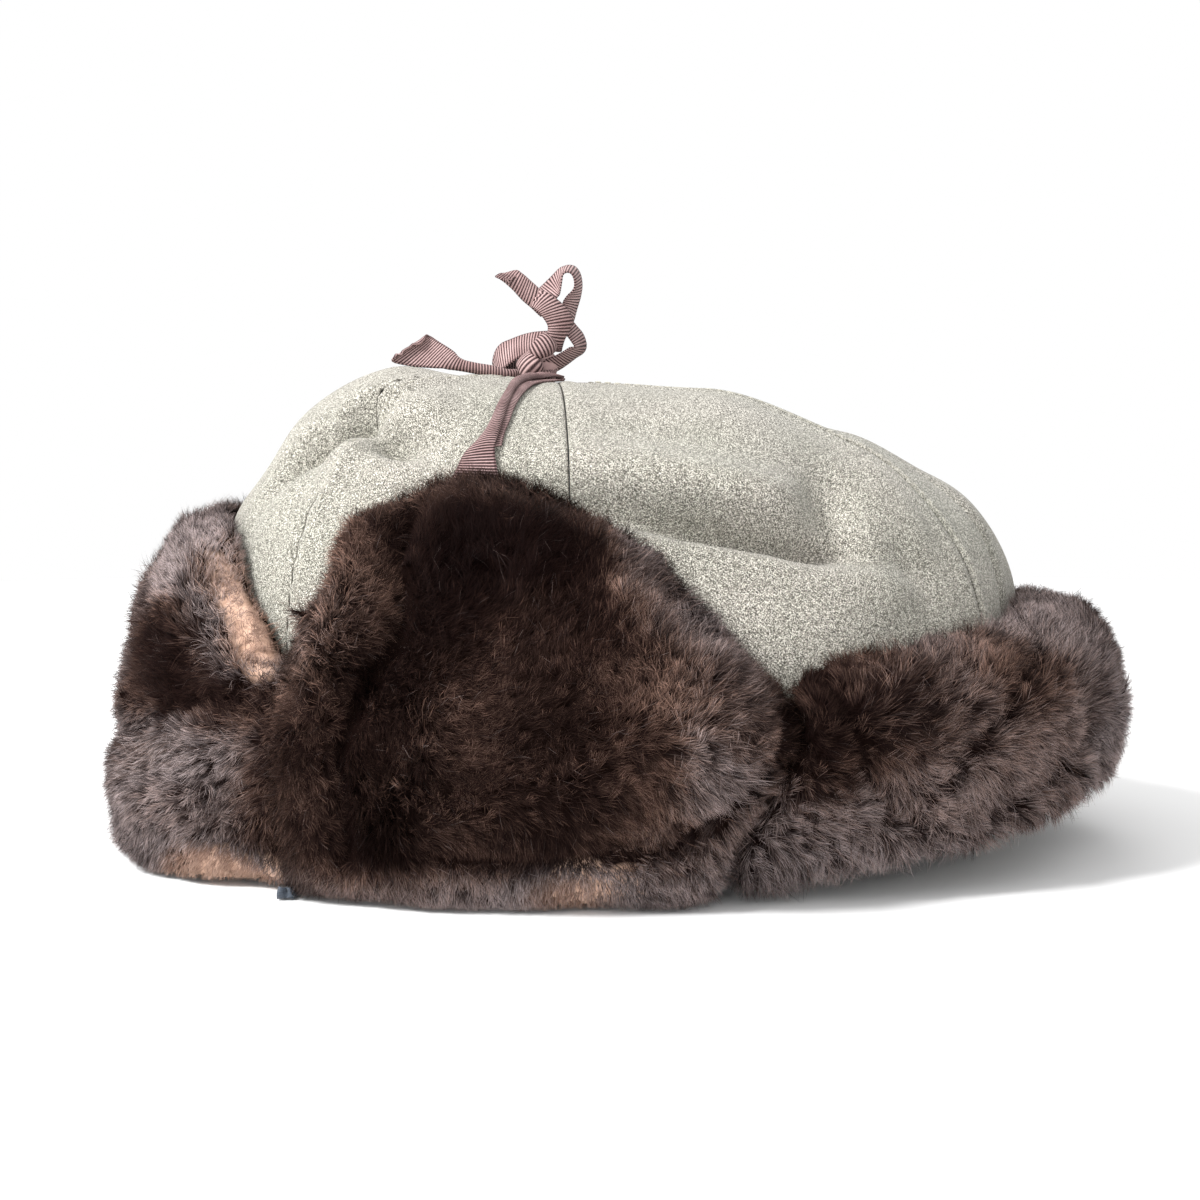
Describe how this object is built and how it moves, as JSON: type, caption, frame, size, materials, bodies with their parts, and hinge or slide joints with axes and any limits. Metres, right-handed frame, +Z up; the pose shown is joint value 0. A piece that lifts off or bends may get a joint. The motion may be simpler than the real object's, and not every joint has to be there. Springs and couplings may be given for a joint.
{
  "type": "fur hat",
  "caption": "Soft wool cap with a fur visor, folded-up fur ear and neck flaps, and a ribbon tied in a bow over the crown.",
  "frame": {"origin": "middle of the box round the hat, on the surface that it stands on", "axes": "-X front with the visor, +X back, -Y the wearer's left, +Y the wearer's right, +Z up"},
  "size_m": [0.3003, 0.245, 0.1623],
  "materials": {
    "wool": "felted heather wool cloth, matt",
    "lining": "twill lining, slight sheen",
    "fur": "dense soft fur with paler tips",
    "ribbon": "ribbed grosgrain ribbon"
  },
  "bodies": {
    "root": {"crown_panel_front": "wool", "crown_panel_left_front": "wool", "crown_panel_left_back": "wool", "crown_panel_back": "wool", "crown_panel_right_back": "wool", "crown_panel_right_front": "wool", "lining": "lining", "front_flap": "fur", "left_ear_flap": "fur", "right_ear_flap": "fur", "neck_flap": "fur", "left_tie": "ribbon", "right_tie": "ribbon", "ribbon_bow": "ribbon"}
  },
  "joints": []
}
